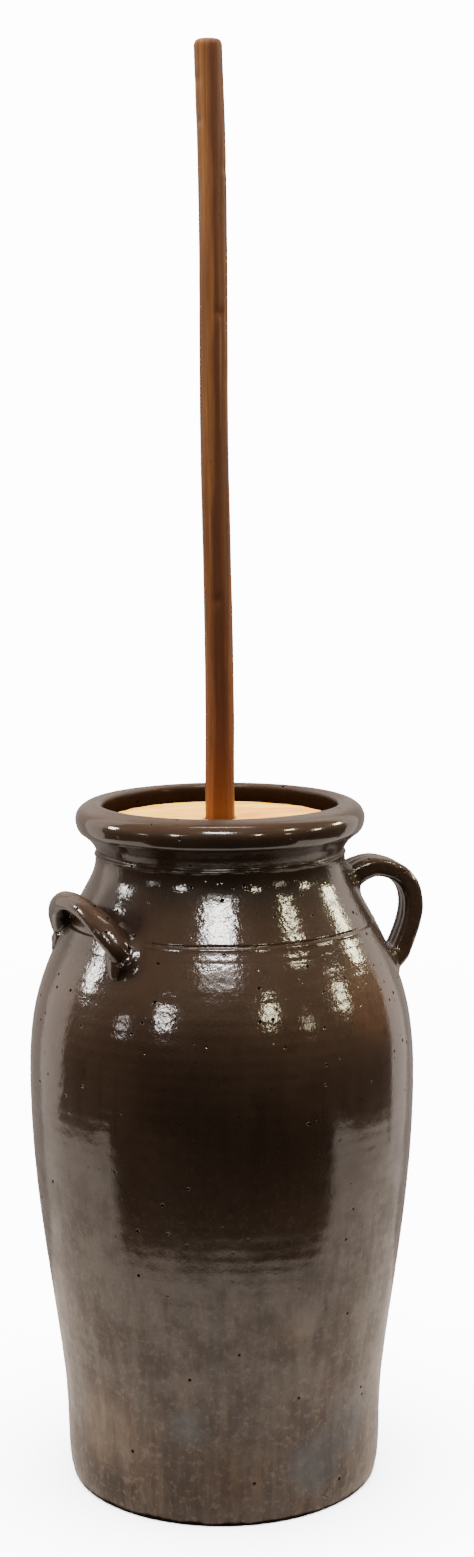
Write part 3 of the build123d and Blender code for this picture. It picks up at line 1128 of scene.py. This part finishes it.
def table_corners():
    """The outline of the mirrored table top, just below the floor."""
    bay = [(reach * sin(radians(turn)), reach * cos(radians(turn))) for turn, reach in TABLE_BAY]
    front = [(-TABLE_HALF, TABLE_FRONT), *bay, (TABLE_HALF, TABLE_FRONT)]
    back = [(TABLE_HALF, TABLE_BACK), (-TABLE_HALF, TABLE_BACK)]
    return [from_camera(right, toward, -0.5 * MM) for right, toward in front + back]


def wall_corners(left, right):
    """The outline of one stretch of the mirrored wall."""
    outline = ((left, 0), (right, 0), (right, WALL_TOP), (left, WALL_TOP))
    return [from_camera(side, TABLE_BACK, up) for side, up in outline]


def build_reflections():
    """What the glaze mirrors: a white table top, a white wall behind it, a dim ceiling and bright panels."""
    mirrored("table", table_corners(), 1.4, TABLE_COLOR)
    for name, left, right, strength in WALLS:
        mirrored(name, wall_corners(left, right), strength, WALL_COLOR)
    for index, (turn, rise, wide, tall, strength, color) in enumerate(PANELS):
        mirrored(f"panel_{index}", panel_corners(turn, rise, wide, tall), strength, color)
    seen_only_by(studio_shell("room", 9, room_glow()), "glossy")


def room_glow():
    """A dark room with a dim warm ceiling, for the glaze to mirror."""
    g = Graph("room_glow")
    glow = g.add("Emission")
    g.put(glow.inputs["Color"], (1, 0.93, 0.86))
    g.put(glow.inputs["Strength"], g.remap(g.height(), 2.6, 4.4, 0.015, 0.10))
    g.put(g.output.inputs["Surface"], glow.outputs[0])
    return g.material


def panel_corners(turn, rise, wide, tall):
    """The corners of a far panel that fills the given directions as seen from the jar's shoulder."""
    corners = []
    for side, up in ((-1, -1), (1, -1), (1, 1), (-1, 1)):
        azimuth, elevation = radians(turn + side * wide / 2), radians(rise + up * tall / 2)
        level = PANEL_DISTANCE * cos(elevation)
        height = SHOULDER + PANEL_DISTANCE * sin(elevation)
        corners.append(from_camera(level * sin(azimuth), level * cos(azimuth), height))
    return corners


def lamp(name, place, aim, width, length, power, color=(1, 1, 1)):
    """A soft rectangular light that faces a point."""
    light = bpy.data.lights.new(name, "AREA")
    light.shape = "RECTANGLE"
    light.size = width
    light.size_y = length
    light.energy = power
    light.color = color
    holder = bpy.data.objects.new(name, light)
    bpy.context.scene.collection.objects.link(holder)
    holder.location = place
    holder.rotation_euler = (aim - place).to_track_quat("-Z", "Y").to_euler()
    holder.visible_glossy = False
    holder.visible_camera = False
    return holder


def build_lights():
    """A broad light overhead, one at each side and an even surround. The panels give the highlights."""
    lamp("overhead", Vector((0, 0, 2.5)), Vector((0, 0, 0)), 1.6, 1.6, 190, LAMP_COLOR)
    for name, side, power in (("left", -2.4, 50), ("right", 2.4, 44)):
        lamp(name, from_camera(side, -0.2, 1.3), Vector((0, 0, 0.6)), 1.0, 1.6, power, LAMP_COLOR)
    world = bpy.data.worlds.new("studio")
    bpy.context.scene.world = world
    world.use_nodes = True
    world.node_tree.nodes["Background"].inputs["Color"].default_value = (1, 1, 1, 1)
    world.node_tree.nodes["Background"].inputs["Strength"].default_value = 0.38
    world.cycles_visibility.glossy = False


def build_camera():
    """A camera level with the middle of the staff, pitched 8 degrees down, the jar left of centre."""
    distance, eye, pitch = 1.737, 0.768, radians(8)
    yaw, roll = radians(0.416), radians(-0.33)
    turned = Matrix.Rotation(-yaw, 3, "Z")
    forward = turned @ -VIEW_BACK
    forward = (forward * cos(pitch) - Vector((0, 0, sin(pitch)))).normalized()
    camera = bpy.data.cameras.new("camera")
    camera.lens = 55.5
    camera.sensor_width = 36
    camera.clip_end = 50
    holder = bpy.data.objects.new("camera", camera)
    bpy.context.scene.collection.objects.link(holder)
    aim = forward.to_track_quat("-Z", "Y").to_matrix() @ Matrix.Rotation(roll, 3, "Z")
    holder.matrix_world = Matrix.Translation(from_camera(0, distance, eye)) @ aim.to_4x4()
    bpy.context.scene.camera = holder


build_floor()
build_backdrop()
build_reflections()
build_lights()
build_camera()
